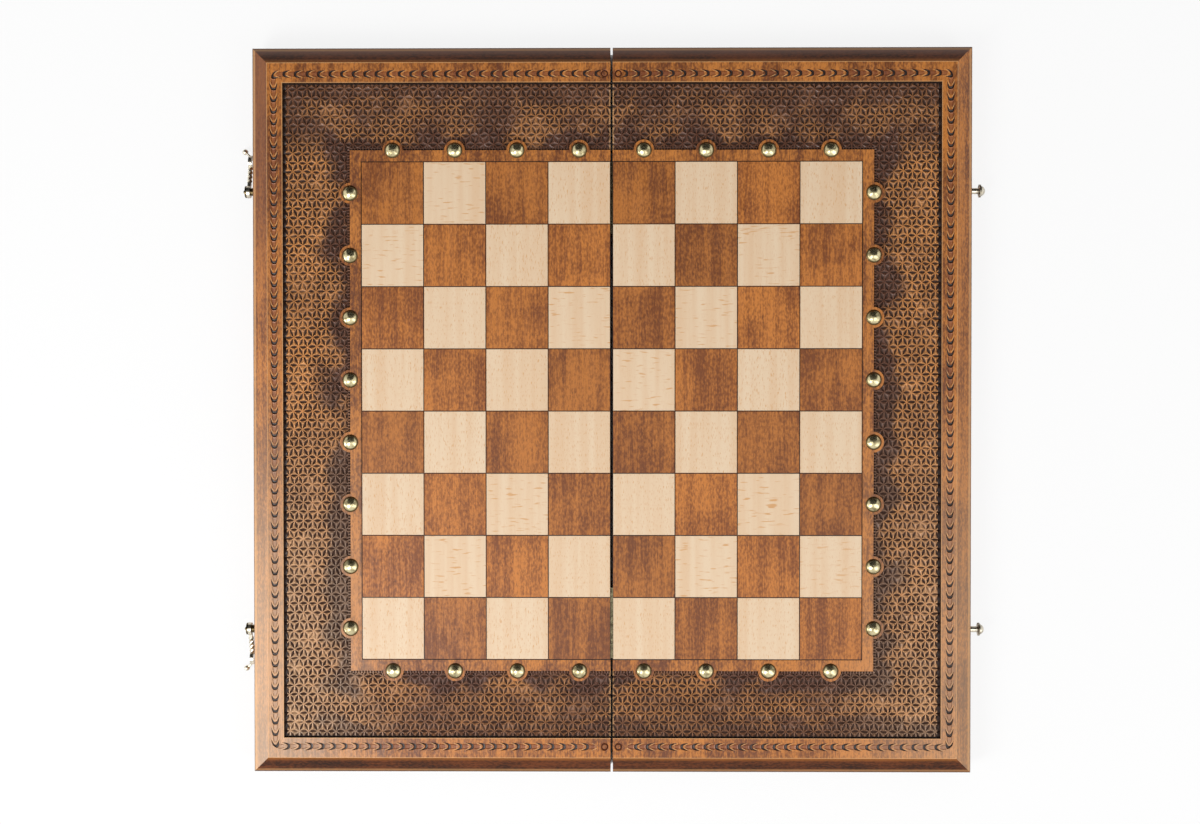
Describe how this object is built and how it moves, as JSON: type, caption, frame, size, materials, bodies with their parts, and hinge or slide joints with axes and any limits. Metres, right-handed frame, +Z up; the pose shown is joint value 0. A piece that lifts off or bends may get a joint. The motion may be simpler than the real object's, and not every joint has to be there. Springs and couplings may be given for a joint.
{
  "type": "folding chess and backgammon board",
  "caption": "Folding wooden board, chess outside and backgammon inside, with a chip-carved surround, brass dome nails, butt hinges, and swing hooks that catch studs when it is shut.",
  "frame": {"origin": "middle of the open board on the table, under the seam", "axes": "+X from the hooks' side to the studs' side, +Y along the seam to the back, +Z up out of the chess side"},
  "size_m": [0.5272, 0.508, 0.0386],
  "materials": {
    "rail_wood": "dark stained beech, satin lacquer",
    "panel_wood": "stained and carved beech, satin lacquer",
    "dark_veneer": "golden brown stained veneer, satin lacquer",
    "light_veneer": "pale beech veneer, satin lacquer",
    "nail_brass": "polished",
    "field_wood": "beech board, satin lacquer",
    "dark_inlay": "dark stained veneer",
    "light_inlay": "pale veneer",
    "hinge_brass": "satin",
    "screw_brass": "satin",
    "pin_steel": "satin",
    "plate_brass": "aged",
    "hook_brass": "aged, polished on the knob",
    "stud_brass": "aged"
  },
  "bodies": {
    "left_half": {"left_outer_rail": "rail_wood", "left_back_rail": "rail_wood", "left_front_rail": "rail_wood", "left_hinge_rail": "rail_wood", "left_carved_panel": "panel_wood", "left_dark_squares": "dark_veneer", "left_light_squares": "light_veneer", "left_brass_nails": "nail_brass", "left_backgammon_field": "field_wood", "left_dark_points": "dark_inlay", "left_light_points": "light_inlay", "left_hinge_leaves": "hinge_brass", "left_hinge_screws": "screw_brass", "hinge_pins": "pin_steel", "hook_plate_pins": "hook_brass", "back_hook_plate": "plate_brass", "front_hook_plate": "plate_brass", "back_hook_pivot": "hook_brass", "front_hook_pivot": "hook_brass"},
    "right_half": {"right_outer_rail": "rail_wood", "right_back_rail": "rail_wood", "right_front_rail": "rail_wood", "right_hinge_rail": "rail_wood", "right_carved_panel": "panel_wood", "right_dark_squares": "dark_veneer", "right_light_squares": "light_veneer", "right_brass_nails": "nail_brass", "right_backgammon_field": "field_wood", "right_dark_points": "dark_inlay", "right_light_points": "light_inlay", "right_hinge_leaves": "hinge_brass", "right_hinge_screws": "screw_brass", "back_latch_stud": "stud_brass", "front_latch_stud": "stud_brass"},
    "back_hook": {"back_hook": "hook_brass"},
    "front_hook": {"front_hook": "hook_brass"}
  },
  "joints": [
    {"name": "fold", "type": "hinge", "parent": "left_half", "child": "right_half", "pos_m": [0, 0, 0.0016], "axis": [0, 1, 0], "range_deg": [0, 180]},
    {"name": "back_hook_swing", "type": "hinge", "parent": "left_half", "child": "back_hook", "pos_m": [-0.2518, 0.155, 0.0136], "axis": [-1, 0, 0], "range_deg": [-107.5, 72.5]},
    {"name": "front_hook_swing", "type": "hinge", "parent": "left_half", "child": "front_hook", "pos_m": [-0.2518, -0.155, 0.0136], "axis": [1, 0, 0], "range_deg": [-107.5, 72.5]}
  ]
}
